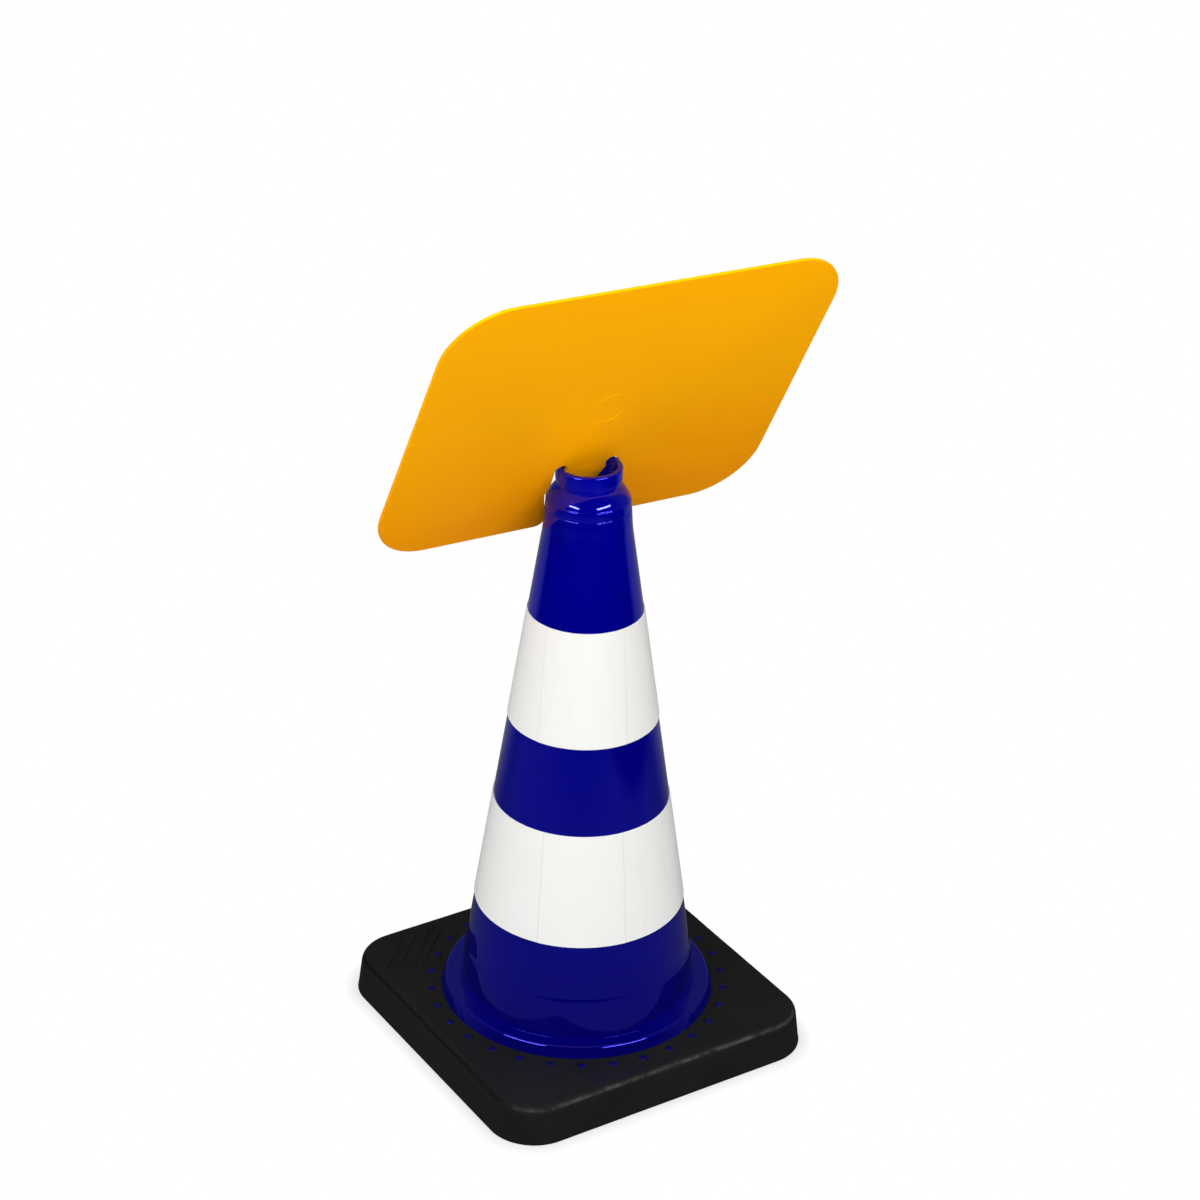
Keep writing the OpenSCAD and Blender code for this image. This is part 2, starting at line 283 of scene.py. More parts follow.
def fill(verts, faces, outer, holes=(), extra=(), upward=True):
    """Fills the flat area inside an outer loop of points and outside its holes with triangles."""
    loops = [outer] + list(holes)
    ids = [i for loop in loops for i in loop] + list(extra)
    owner = {i: k for k, loop in enumerate(loops) for i in loop}
    edges = []
    start = 0
    for loop in loops:
        for k in range(len(loop)):
            edges.append((start + k, start + (k + 1) % len(loop)))
        start += len(loop)
    outline = [tuple(verts[i][:2]) for i in outer]
    points = [Vector(verts[i][:2]) for i in ids]
    _, _, triangles, origin, _, _ = delaunay_2d_cdt(points, edges, [], 0, 1e-5)
    for tri in triangles:
        face = [ids[origin[k][0]] for k in tri]
        a, b, c = (Vector(verts[i][:2]) for i in face)
        area = (b - a).cross(c - a) / 2
        owners = {owner.get(i) for i in face}
        if len(owners) == 1 and None not in owners:
            if owners != {0} or abs(area) < 1e-3 or not in_outline(outline, (a + b + c) / 3):
                continue
        faces.append(tuple(face) if (area > 0) == upward else tuple(reversed(face)))


def wall_radius(z):
    return FOOT_RADIUS - WALL_TAPER * (z - BASE_HEIGHT)


def collar_radius(z):
    part = (z - COLLAR_LOW_Z) / (COLLAR_TOP_Z - COLLAR_LOW_Z)
    return COLLAR_LOW_RADIUS + (COLLAR_TOP_RADIUS - COLLAR_LOW_RADIUS) * part


# Materials

def new_material(name):
    material = bpy.data.materials.new(name)
    material.use_nodes = True
    return material, material.node_tree.nodes, material.node_tree.links


def object_place(nodes, links, scale=(1, 1, 1)):
    """Coordinates of the piece itself, stretched by a scale."""
    coords = nodes.new("ShaderNodeTexCoord")
    mapping = nodes.new("ShaderNodeMapping")
    mapping.inputs["Scale"].default_value = scale
    links.new(coords.outputs["Object"], mapping.inputs["Vector"])
    return mapping.outputs["Vector"]


def noise_texture(nodes, links, place, scale, detail=4, roughness=0.55):
    texture = nodes.new("ShaderNodeTexNoise")
    texture.inputs["Scale"].default_value = scale
    texture.inputs["Detail"].default_value = detail
    texture.inputs["Roughness"].default_value = roughness
    links.new(place, texture.inputs["Vector"])
    return texture.outputs["Fac"]


def ramp(nodes, links, value, stops):
    """Colours or greys over the range of a value: (place, colour) pairs."""
    node = nodes.new("ShaderNodeValToRGB")
    elements = node.color_ramp.elements
    while len(elements) < len(stops):
        elements.new(0.5)
    for element, (place, colour) in zip(elements, stops):
        element.position = place
        element.color = (*colour, 1) if len(colour) == 3 else colour
    links.new(value, node.inputs["Fac"])
    return node.outputs["Color"]


def two_tone(nodes, links, value, low, high):
    """One colour or grey turning into another over the middle of a noise."""
    return ramp(nodes, links, value, [(0.3, low), (0.7, high)])


def split(nodes, links, vector):
    """The X, Y and Z of a vector."""
    node = nodes.new("ShaderNodeSeparateXYZ")
    links.new(vector, node.inputs["Vector"])
    return node.outputs


def facing(nodes, links):
    """The X, Y and Z of the way a piece's surface faces."""
    coords = nodes.new("ShaderNodeTexCoord")
    return split(nodes, links, coords.outputs["Normal"])


def grey(value):
    return (value, value, value)


def math_node(nodes, links, operation, a, b=0.0):
    """A calculation with one or two values, each a number or a node's output."""
    node = nodes.new("ShaderNodeMath")
    node.operation = operation
    for socket, value in zip(node.inputs, (a, b)):
        if isinstance(value, (int, float)):
            socket.default_value = value
        else:
            links.new(value, socket)
    return node.outputs["Value"]


def mix_colour(nodes, links, amount, a, b):
    """Two colours, each a tuple or a node's output, mixed by an amount from 0 to 1."""
    node = nodes.new("ShaderNodeMix")
    node.data_type = "RGBA"
    links.new(amount, node.inputs["Factor"])
    for socket, value in (("A", a), ("B", b)):
        target = [s for s in node.inputs if s.name == socket and s.type == "RGBA"][0]
        if isinstance(value, tuple):
            target.default_value = (*value, 1)
        else:
            links.new(value, target)
    return [s for s in node.outputs if s.type == "RGBA"][0]


def map_range(nodes, links, value, source, target):
    """A value moved from one range to another, held at its ends."""
    node = nodes.new("ShaderNodeMapRange")
    node.inputs["From Min"].default_value, node.inputs["From Max"].default_value = source
    node.inputs["To Min"].default_value, node.inputs["To Max"].default_value = target
    links.new(value, node.inputs["Value"])
    return node.outputs["Result"]


def bump(nodes, links, height, strength, distance, before=None):
    """Fine relief from a noise. The distance is in millimetres."""
    node = nodes.new("ShaderNodeBump")
    node.inputs["Strength"].default_value = strength
    node.inputs["Distance"].default_value = distance * MM
    links.new(height, node.inputs["Height"])
    if before is not None:
        links.new(before, node.inputs["Normal"])
    return node.outputs["Normal"]


def cone_plastic():
    """Glossy blue under a clear skin, with painted shade making it darker towards the foot."""
    material, nodes, links = new_material("cone_plastic")
    shader = nodes["Principled BSDF"]
    place = object_place(nodes, links)
    cloud = noise_texture(nodes, links, place, scale=14, detail=3)
    shaded_foot_blue = two_tone(nodes, links, cloud, *SHADED_FOOT_BLUE)
    top_blue = two_tone(nodes, links, cloud, *TOP_BLUE)
    # Painted shade: the blue darkens towards the foot over these heights
    shade_rise = map_range(nodes, links, split(nodes, links, place)["Z"], BLUE_SHADE_RISE, (0.0, 1.0))
    links.new(mix_colour(nodes, links, shade_rise, shaded_foot_blue, top_blue), shader.inputs["Base Color"])
    smear = noise_texture(nodes, links, place, scale=60, detail=5)
    roughness = ramp(nodes, links, smear, [(0.3, grey(0.05)), (0.75, grey(0.09))])
    links.new(roughness, shader.inputs["Roughness"])
    shader.inputs["IOR"].default_value = 2.4
    shader.inputs["Specular IOR Level"].default_value = 1.0
    shader.inputs["Specular Tint"].default_value = BLUE_GLOSS
    shader.inputs["Coat Weight"].default_value = 1.0
    shader.inputs["Coat IOR"].default_value = 1.4
    shader.inputs["Coat Roughness"].default_value = 0.05
    wave = noise_texture(nodes, links, place, scale=18, detail=1)
    fine = noise_texture(nodes, links, place, scale=900, detail=2)
    rolling = bump(nodes, links, wave, strength=0.15, distance=0.35)
    surface = bump(nodes, links, fine, strength=0.02, distance=0.02, before=rolling)
    links.new(surface, shader.inputs["Normal"])
    links.new(surface, shader.inputs["Coat Normal"])
    return material


def stud_plastic():
    """Dull, dirty blue on the studs' tops."""
    material, nodes, links = new_material("stud_plastic")
    shader = nodes["Principled BSDF"]
    dirt = noise_texture(nodes, links, object_place(nodes, links), scale=90, detail=4)
    dark, light = STUD_BLUE
    colour = ramp(nodes, links, dirt, [(0.35, dark), (0.65, light)])
    links.new(colour, shader.inputs["Base Color"])
    links.new(two_tone(nodes, links, dirt, grey(0.55), grey(0.35)), shader.inputs["Roughness"])
    shader.inputs["Specular IOR Level"].default_value = 0.15
    links.new(bump(nodes, links, dirt, strength=0.2, distance=0.15), shader.inputs["Normal"])
    return material


def sleeve_film():
    """White reflective film with faint upright streaks and fine cells."""
    material, nodes, links = new_material("reflective_film")
    shader = nodes["Principled BSDF"]
    upright = object_place(nodes, links, (90, 90, 3))
    streaks = noise_texture(nodes, links, upright, scale=1, detail=3)
    colour = ramp(nodes, links, streaks, [(0.35, FILM_COOL_WHITE), (0.62, FILM_WHITE), (0.72, FILM_STAIN)])
    links.new(colour, shader.inputs["Base Color"])
    cells = noise_texture(nodes, links, object_place(nodes, links), scale=1400, detail=2)
    links.new(two_tone(nodes, links, cells, grey(0.34), grey(0.44)), shader.inputs["Roughness"])
    links.new(bump(nodes, links, cells, strength=0.12, distance=0.05), shader.inputs["Normal"])
    shader.inputs["IOR"].default_value = 1.4
    shader.inputs["Specular IOR Level"].default_value = 0.3
    return material


def film_end():
    """The cut end of a film, where dirt settles."""
    material, nodes, links = new_material("film_edge")
    shader = nodes["Principled BSDF"]
    dirt = noise_texture(nodes, links, object_place(nodes, links), scale=120, detail=4)
    links.new(two_tone(nodes, links, dirt, *FILM_END_GREY), shader.inputs["Base Color"])
    links.new(two_tone(nodes, links, dirt, grey(0.5), grey(0.65)), shader.inputs["Roughness"])
    return material


def base_rubber():
    """Black rubber with fine grain, pale scuffs mixed with a painted highlight on the front edge, and
    painted shade darkening the left edge.
    """
    material, nodes, links = new_material("base_rubber")
    shader = nodes["Principled BSDF"]
    place = object_place(nodes, links)
    grain = noise_texture(nodes, links, place, scale=700, detail=4, roughness=0.7)
    cloud = noise_texture(nodes, links, place, scale=26, detail=5)
    rub = noise_texture(nodes, links, place, scale=55, detail=6, roughness=0.7)
    ways = facing(nodes, links)
    edge_stops = [(0.50, grey(0)), (0.64, grey(1)), (0.78, grey(1)), (0.92, grey(0))]
    edge = ramp(nodes, links, ways["Z"], edge_stops)
    to_front = math_node(nodes, links, "MAXIMUM", math_node(nodes, links, "MULTIPLY", ways["Y"], -1.6))
    to_left = math_node(nodes, links, "MAXIMUM", math_node(nodes, links, "MULTIPLY", ways["X"], -1.6))
    rubbed = ramp(nodes, links, rub, [(0.42, grey(0)), (0.66, grey(1))])
    # Scuffs and painted highlight: the rounded edge facing the front is paler in patches
    front = math_node(nodes, links, "MULTIPLY", math_node(nodes, links, "MULTIPLY", edge, to_front), rubbed)
    # Painted shade: the rounded edge facing left is darkened
    left = math_node(nodes, links, "MULTIPLY", edge, to_left)
    body = mix_colour(nodes, links, cloud, *RUBBER_BLACK)
    painted_shade_share = math_node(nodes, links, "MINIMUM", left, 0.8)
    body = mix_colour(nodes, links, painted_shade_share, body, RUBBER_PAINTED_SHADE)
    scuff_and_highlight_share = math_node(nodes, links, "MINIMUM", front, 0.9)
    body = mix_colour(nodes, links, scuff_and_highlight_share, body, RUBBER_SCUFF_AND_HIGHLIGHT)
    speck = ramp(nodes, links, grain, [(0.70, grey(0)), (0.82, grey(1))])
    body = mix_colour(nodes, links, speck, body, RUBBER_SPECK)
    links.new(body, shader.inputs["Base Color"])
    shader.inputs["Specular IOR Level"].default_value = 0.2
    links.new(two_tone(nodes, links, cloud, grey(0.5), grey(0.66)), shader.inputs["Roughness"])
    rolling = bump(nodes, links, cloud, strength=0.4, distance=0.35)
    surface = bump(nodes, links, grain, strength=0.35, distance=0.12, before=rolling)
    links.new(surface, shader.inputs["Normal"])
    return material


def board_plastic():
    """Satin yellow with fine grain, with painted shade making it darker and more orange towards the bottom,
    and a painted highlight making the upper edge paler.
    """
    material, nodes, links = new_material("board_plastic")
    shader = nodes["Principled BSDF"]
    place = object_place(nodes, links)
    cloud = noise_texture(nodes, links, place, scale=9, detail=4)
    # Painted shade: a darker, more orange yellow towards the bottom
    shaded_low_yellow = two_tone(nodes, links, cloud, *SHADED_LOW_YELLOW)
    high_yellow = two_tone(nodes, links, cloud, *HIGH_YELLOW)
    shade_rise = map_range(nodes, links, split(nodes, links, place)["Z"], YELLOW_SHADE_RISE, (0.0, 1.0))
    yellow = mix_colour(nodes, links, shade_rise, shaded_low_yellow, high_yellow)
    # Painted highlight: edges that face up are paler
    painted_edge_highlight = map_range(nodes, links, facing(nodes, links)["Z"], (0.55, 0.8), (0.0, 1.0))
    links.new(mix_colour(nodes, links, painted_edge_highlight, yellow, EDGE_HIGHLIGHT_YELLOW), shader.inputs["Base Color"])
    grain = noise_texture(nodes, links, place, scale=1100, detail=3)
    links.new(two_tone(nodes, links, grain, grey(0.36), grey(0.46)), shader.inputs["Roughness"])
    links.new(bump(nodes, links, grain, strength=0.10, distance=0.05), shader.inputs["Normal"])
    shader.inputs["IOR"].default_value = 1.1
    shader.inputs["Specular Tint"].default_value = BOARD_GLOSS
    return material


def face_film(name, low, high):
    """Satin film with fine cells, between two colours."""
    material, nodes, links = new_material(name)
    shader = nodes["Principled BSDF"]
    place = object_place(nodes, links)
    cells = noise_texture(nodes, links, place, scale=1300, detail=2)
    cloud = noise_texture(nodes, links, place, scale=7, detail=4)
    links.new(two_tone(nodes, links, cloud, low, high), shader.inputs["Base Color"])
    links.new(two_tone(nodes, links, cells, grey(0.3), grey(0.4)), shader.inputs["Roughness"])
    links.new(bump(nodes, links, cells, strength=0.1, distance=0.04), shader.inputs["Normal"])
    return material


CONE_PLASTIC = cone_plastic()
STUD_PLASTIC = stud_plastic()
SLEEVE_FILM = sleeve_film()
FILM_END = film_end()
BASE_RUBBER = base_rubber()
BOARD_PLASTIC = board_plastic()
FACE_FILM = face_film("face_film", *FACE_YELLOW)
BORDER_FILM = face_film("border_film", *BORDER_BLACK)


# Base

def base_outline(inset, z):
    """Points round the base, set in from its side at the floor."""
    radius = BASE_CORNER - inset
    half = BASE_SIDE / 2 - inset
    middle = half - radius
    points = []
    for turn in range(4):
        a = math.pi / 2 * turn
        corner = arc(middle, middle, radius, radius, 0, 90, CORNER_STEPS)
        side = [(middle - 2 * middle * i / SIDE_STEPS, half) for i in range(1, SIDE_STEPS)]
        for x, y in corner + side:
            points.append((x * math.cos(a) - y * math.sin(a), x * math.sin(a) + y * math.cos(a), z))
    return points


def circle(cx, cy, z, radius, steps):
    return [(cx + x, cy + y, z) for x, y in arc(0, 0, radius, radius, 0, 360, steps)[:-1]]


def stud_places():
    for i in range(STUD_COUNT):
        a = 2 * math.pi * i / STUD_COUNT
        yield STUD_CIRCLE * math.cos(a), STUD_CIRCLE * math.sin(a)


def base_section():
    """(inset, height) up the side of the base, from the floor to the flat top."""
    edge_z = BASE_HEIGHT - BASE_EDGE
    lean = math.atan(BASE_DRAFT / edge_z)
    edge_inset = BASE_DRAFT + BASE_EDGE / math.cos(lean)
    foot = [(BASE_FOOT_EDGE - x, BASE_FOOT_EDGE - y)
            for x, y in arc(0, 0, BASE_FOOT_EDGE, BASE_FOOT_EDGE, 90, 0, 4)]
    side = [(BASE_DRAFT * z / edge_z, z) for z in BASE_SIDE_RINGS]
    edge = arc(0, edge_z, BASE_EDGE, BASE_EDGE, math.degrees(lean), 90, 12)
    return foot + side + [(edge_inset - x, z) for x, z in edge]


def worn(point, top):
    """A point of the base's outside, moved in a little where the rubber is uneven."""
    x, y, z = point
    place = Vector(point) / RUBBER_DENT_SPAN
    dent = RUBBER_DENT * (noise.noise(place) + 1) + RUBBER_FINE_DENT * (noise.noise(place * 4) + 1)
    if top:
        return (x, y, z - dent)
    pull = 1 - dent / max(math.hypot(x, y), 1)
    return (x * pull, y * pull, z)


def top_grid(inset):
    """Points over the flat top of the base, clear of its edge, its hole and its studs."""
    reach = BASE_SIDE / 2 - inset
    corner_radius = BASE_CORNER - inset
    round_middle = reach - corner_radius
    hole = wall_radius(BASE_HEIGHT) + CONE_HOLE_ROOM
    steps = int(reach / TOP_GRID_PITCH)
    grid = []
    for i in range(-steps, steps + 1):
        for j in range(-steps, steps + 1):
            x = i * TOP_GRID_PITCH
            y = j * TOP_GRID_PITCH
            corner = math.hypot(max(abs(x) - round_middle, 0), max(abs(y) - round_middle, 0))
            if corner > corner_radius - TOP_GRID_ROOM:
                continue
            if max(abs(x), abs(y)) > reach - TOP_GRID_ROOM:
                continue
            if math.hypot(x, y) < hole + TOP_GRID_ROOM:
                continue
            if any(math.hypot(x - u, y - v) < STUD_HOLE + STUD_GRID_ROOM for u, v in stud_places()):
                continue
            point = (x, y, BASE_HEIGHT)
            by_flange = math.hypot(x, y) < FLANGE_RADIUS + FLANGE_GRID_ROOM
            grid.append(point if by_flange else worn(point, True))
    return grid


def build_base():
    verts = []
    faces = []
    section = base_section()
    rings = []
    for inset, z in section:
        points = base_outline(inset, z)
        if z > BASE_FOOT_EDGE:
            points = [worn(p, False) for p in points]
        rings.append(add_ring(verts, points))
    for low, high in zip(rings, rings[1:]):
        bridge(faces, low, high)
    low_radius = wall_radius(RECESS_TOP) + CONE_HOLE_ROOM
    top_radius = wall_radius(BASE_HEIGHT) + CONE_HOLE_ROOM
    hole_low = add_ring(verts, circle(0, 0, RECESS_TOP, low_radius, HOLE_STEPS))
    hole_top = add_ring(verts, circle(0, 0, BASE_HEIGHT, top_radius, HOLE_STEPS))
    bridge(faces, hole_top, hole_low)
    recess_low = add_ring(verts, circle(0, 0, 0, RECESS_RADIUS, HOLE_STEPS))
    recess_top = add_ring(verts, circle(0, 0, RECESS_TOP, RECESS_RADIUS, HOLE_STEPS))
    bridge(faces, recess_top, recess_low)
    stud_low = []
    stud_top = []
    for x, y in stud_places():
        stud_low.append(add_ring(verts, circle(x, y, RECESS_TOP, STUD_HOLE, STUD_STEPS)))
        stud_top.append(add_ring(verts, circle(x, y, BASE_HEIGHT, STUD_HOLE, STUD_STEPS)))
        bridge(faces, stud_top[-1], stud_low[-1])
    top_inset = section[-1][0]
    extra = add_ring(verts, top_grid(top_inset))
    fill(verts, faces, rings[-1], [hole_top] + stud_top, extra)
    fill(verts, faces, recess_top, [hole_low] + stud_low, upward=False)
    fill(verts, faces, rings[0], [recess_low], upward=False)
    finish_mesh("base_block", verts, faces, "cone_and_base", BASE_RUBBER, "base")


def bar_mesh(start, end, width, height, sink, top_z):
    """A plain raised bar with round ends and rounded top edges, along a line on a flat face."""
    sx, sy = start
    ex, ey = end
    length = math.hypot(ex - sx, ey - sy)
    ux, uy = (ex - sx) / length, (ey - sy) / length
    verts = []
    faces = []
    rings = []
    half = width / 2
    for inset, z in ((0, -sink), (0, height * 0.4), (half * 0.12, height * 0.8), (half * 0.35, height)):
        r = half - inset
        outline = arc(length, 0, r, r, -90, 90, 10) + arc(0, 0, r, r, 90, 270, 10)
        points = [(sx + ux * x - uy * y, sy + uy * x + ux * y, top_z + z) for x, y in outline]
        rings.append(add_ring(verts, points))
    for low, high in zip(rings, rings[1:]):
        bridge(faces, low, high)
    faces.append(tuple(rings[-1]))
    faces.append(tuple(reversed(rings[0])))
    return verts, faces


def join(parts):
    verts = []
    faces = []
    for part_verts, part_faces in parts:
        first = len(verts)
        verts.extend(part_verts)
        faces.extend(tuple(first + i for i in face) for face in part_faces)
    return verts, faces


def build_base_relief():
    """Plain slanted bars, small round pips and a thin arc moulded on the top of the base."""
    parts = [bar_mesh(a, b, BAR_WIDTH, BAR_RISE, RELIEF_SINK, BASE_HEIGHT) for a, b in RELIEF_BARS]
    for x, y in RELIEF_PIPS:
        end = (x - PIP_LENGTH, y - PIP_LENGTH)
        parts.append(bar_mesh((x, y), end, PIP_WIDTH, PIP_RISE, RELIEF_SINK, BASE_HEIGHT))
    mx, my = ARC_MARK_MIDDLE
    arc_mark = arc(mx, my, ARC_MARK_RADIUS, ARC_MARK_RADIUS, 40, 115, 6)
    for a, b in zip(arc_mark, arc_mark[1:]):
        parts.append(bar_mesh(a, b, ARC_MARK_WIDTH, ARC_MARK_RISE, RELIEF_SINK, BASE_HEIGHT))
    verts, faces = join(parts)
    finish_mesh("base_relief", verts, faces, "cone_and_base", BASE_RUBBER, None)


# Cone

def shoulder_points():
    slant = math.hypot(SHOULDER_RISE, SHOULDER_WIDTH)
    low_r = COLLAR_TOP_RADIUS - COLLAR_STEP
    low_z = COLLAR_TOP_Z + COLLAR_STEP
    points = []
    for i in range(13):
        t = i / 12
        out = 4 * SHOULDER_BULGE * t * (1 - t) / slant
        points.append((low_r - SHOULDER_WIDTH * t + SHOULDER_RISE * out,
                       low_z + SHOULDER_RISE * t + SHOULDER_WIDTH * out))
    return points


def foot_points():
    """The anchor ring below the base, the leaning flange on it and the fillet up to the wall."""
    flange_top = BASE_HEIGHT + FLANGE_HEIGHT
    points = [(wall_radius(ANCHOR_LOW) - CONE_WALL, ANCHOR_LOW), (ANCHOR_RADIUS, ANCHOR_LOW),
              (ANCHOR_RADIUS, RECESS_TOP), (wall_radius(RECESS_TOP), RECESS_TOP),
              (wall_radius(BASE_HEIGHT), BASE_HEIGHT), (FLANGE_RADIUS, BASE_HEIGHT)]
    lean = math.atan(FLANGE_LEAN / FLANGE_HEIGHT)
    edge_z = flange_top - FLANGE_EDGE
    edge_x = FLANGE_RADIUS - (edge_z - BASE_HEIGHT) * math.tan(lean) - FLANGE_EDGE / math.cos(lean)
    points += arc(edge_x, edge_z, FLANGE_EDGE, FLANGE_EDGE, math.degrees(lean), 90, 12)
    points.append((edge_x - FLANGE_FLAT, flange_top))
    fillet_z = flange_top + FOOT_FILLET
    fillet_x = wall_radius(fillet_z) + CREASE_DEPTH + FOOT_FILLET * math.hypot(1, WALL_TAPER)
    along_wall = 180 + math.degrees(math.atan(WALL_TAPER))
    return points + arc(fillet_x, fillet_z, FOOT_FILLET, FOOT_FILLET, 270, along_wall, 14)


def wall_points():
    """The wall from the fillet over the crease up to the collar."""
    points = [(wall_radius(z) + CREASE_DEPTH, z) for z in FOOT_RINGS]
    for i in range(9):
        z = CREASE_Z + CREASE_WIDTH * (i / 8 - 0.5)
        points.append((wall_radius(z) + CREASE_DEPTH * (1 + math.cos(math.pi * i / 8)) / 2, z))
    for i in range(1, 24):
        z = CREASE_Z + (COLLAR_LOW_Z - CREASE_Z) * i / 24
        points.append((wall_radius(z), z))
    return points


def collar_points():
    """The collar with its fine line and its rounded top edge."""
    points = [(COLLAR_LOW_RADIUS, COLLAR_LOW_Z), (collar_radius(COLLAR_RING_Z), COLLAR_RING_Z)]
    for i in range(11):
        z = COLLAR_LINE_Z + COLLAR_LINE_WIDTH * (i / 10 - 0.5)
        dip = COLLAR_LINE_DEPTH * (1 - math.cos(2 * math.pi * i / 10)) / 2
        points.append((collar_radius(z) - dip, z))
    edge_x = COLLAR_TOP_RADIUS - COLLAR_ROUNDING
    edge_z = COLLAR_TOP_Z - COLLAR_STEP
    return points + arc(edge_x, edge_z, COLLAR_ROUNDING, COLLAR_ROUNDING, 4, 55, 10)


def rim_points():
    """The bead, from its underside at the neck over its top to the lip inside the mouth."""
    under_z = CONE_HEIGHT - BEAD_HEIGHT + BEAD_UNDERSIDE
    top_z = CONE_HEIGHT - BEAD_ROUNDING
    outer_x = NECK_RADIUS + BEAD_OVERHANG - BEAD_ROUNDING
    inner_x = LIP_RADIUS + BEAD_ROUNDING
    points = arc(NECK_RADIUS, under_z, BEAD_OVERHANG, BEAD_UNDERSIDE, 270, 360, 12)
    points += arc(outer_x, top_z, BEAD_ROUNDING, BEAD_ROUNDING, 0, 90, 8)
    points += arc(inner_x, top_z, BEAD_ROUNDING, BEAD_ROUNDING, 90, 180, 8)
    return points


def inside_points():
    """The bore and the hollow, from the lip down to the foot."""
    ceiling_z = CONE_HEIGHT - BEAD_HEIGHT - NECK_HEIGHT - CONE_WALL
    hollow_x = COLLAR_TOP_RADIUS - COLLAR_STEP - CONE_WALL
    hollow_z = ceiling_z - (hollow_x - BORE_RADIUS) * SHOULDER_RISE / SHOULDER_WIDTH
    points = [(LIP_RADIUS, LIP_Z), (BORE_RADIUS, LIP_Z - (BORE_RADIUS - LIP_RADIUS)),
              (BORE_RADIUS, ceiling_z + BORE_RING_RISE), (BORE_RADIUS, ceiling_z),
              (hollow_x, hollow_z), (COLLAR_LOW_RADIUS - CONE_WALL, COLLAR_LOW_Z)]
    return points + [(wall_radius(z) - CONE_WALL, z) for z in HOLLOW_RINGS]


def cone_profile():
    outside = foot_points() + wall_points() + collar_points() + shoulder_points() + rim_points()
    return outside + inside_points()


def build_cone():
    verts, faces = lathe(cone_profile())
    finish_mesh("cone_shell", verts, faces, "cone_and_base", CONE_PLASTIC, "cone")


def build_studs():
    """The studs' tops, each a little different in height and dished or domed."""
    parts = []
    for i, (x, y) in enumerate(stud_places()):
        lift = STUD_LIFT_SPREAD * math.sin(2.4 * i) + STUD_LIFT
        dish = STUD_DISH * math.sin(1.7 * i + 1)
        verts = []
        faces = []
        levels = [(STUD_RADIUS, RECESS_TOP - 1),
                  (STUD_RADIUS, BASE_HEIGHT - 0.6 + lift),
                  (STUD_RADIUS * 0.93, BASE_HEIGHT - 0.25 + lift),
                  (STUD_RADIUS * 0.75, BASE_HEIGHT - 0.1 + lift),
                  (STUD_RADIUS * 0.4, BASE_HEIGHT - 0.1 + lift + dish * 0.6)]
        rings = [add_ring(verts, circle(x, y, z, r, STUD_STEPS)) for r, z in levels]
        for low, high in zip(rings, rings[1:]):
            bridge(faces, low, high)
        faces.append(tuple(rings[-1]))
        faces.append(tuple(reversed(rings[0])))
        parts.append((verts, faces))
    verts, faces = join(parts)
    finish_mesh("cone_studs", verts, faces, "cone_and_base", STUD_PLASTIC, None, sharp=50)


# Sleeves

def lap(angle, middle, width):
    """1 where the film's end lies on its start, and 0 elsewhere. Angles are in degrees."""
    away = (math.degrees(angle) - middle + 180) % 360 - 180
    return 1.0 if abs(away) <= width / 2 else 0.0


def sleeve_section(low, thick, wave):
    """(height, distance from the cone) round the cross-section of a film."""
    high = low + SLEEVE_WIDTH
    out = SLEEVE_GLUE + thick
    section = [(low, SLEEVE_GLUE), (low, out - SLEEVE_EDGE), (low + SLEEVE_EDGE, out)]
    section += [(low + SLEEVE_WIDTH * k / 9, out + wave) for k in range(1, 9)]
    return section + [(high - SLEEVE_EDGE, out), (high, out - SLEEVE_EDGE), (high, SLEEVE_GLUE)]


def build_sleeve(name, node, low, lap_shape):
    """A film whose ends lap. The lap grows narrower downwards by a squeeze on each side."""
    lap_middle, lap_width, lap_squeeze = lap_shape
    high = low + SLEEVE_WIDTH
    verts = []
    angles = [2 * math.pi * i / SLEEVE_STEPS for i in range(SLEEVE_STEPS)]
    laps = [lap(a, lap_middle, lap_width) for a in angles]
    for a, lapped in zip(angles, laps):
        wave = SLEEVE_WAVE * noise.noise(Vector((math.cos(a) * 6, math.sin(a) * 6, low * 0.01)))
        section = sleeve_section(low, SLEEVE_THICKNESS + SLEEVE_LAP * lapped, wave)
        pull = math.radians(lap_squeeze) * math.sin(a - math.radians(lap_middle))
        for z, out in section:
            r = wall_radius(z) + out
            turn = a - pull * (high - z) / SLEEVE_WIDTH
            verts.append((r * math.cos(turn), r * math.sin(turn), z))
    count = len(section)
    faces = ring_faces(SLEEVE_STEPS, count)
    obj = finish_mesh(name, verts, faces, "cone_and_base", SLEEVE_FILM, node)
    obj.data.materials.append(FILM_END)
    for i, lapped in enumerate(laps):
        if lapped != laps[(i + 1) % SLEEVE_STEPS]:
            for k in range(count):
                obj.data.polygons[i * count + k].material_index = 1


# Sign

def sign_place():
    """From the sign's own frame to the row frame: x across the board, y up it, z out of its back."""
    return (Matrix.Translation((0, 0, CONE_HEIGHT * MM))
            @ Matrix.Rotation(math.radians(SIGN_HEADING), 4, "Z")
            @ Matrix.Rotation(math.radians(90 + SIGN_LEAN), 4, "X")
            @ Matrix.Translation((SIGN_SHIFT * MM, 0, -SIGN_SET_BACK * MM))
            @ Matrix.Rotation(math.radians(SIGN_ROLL), 4, "Z"))


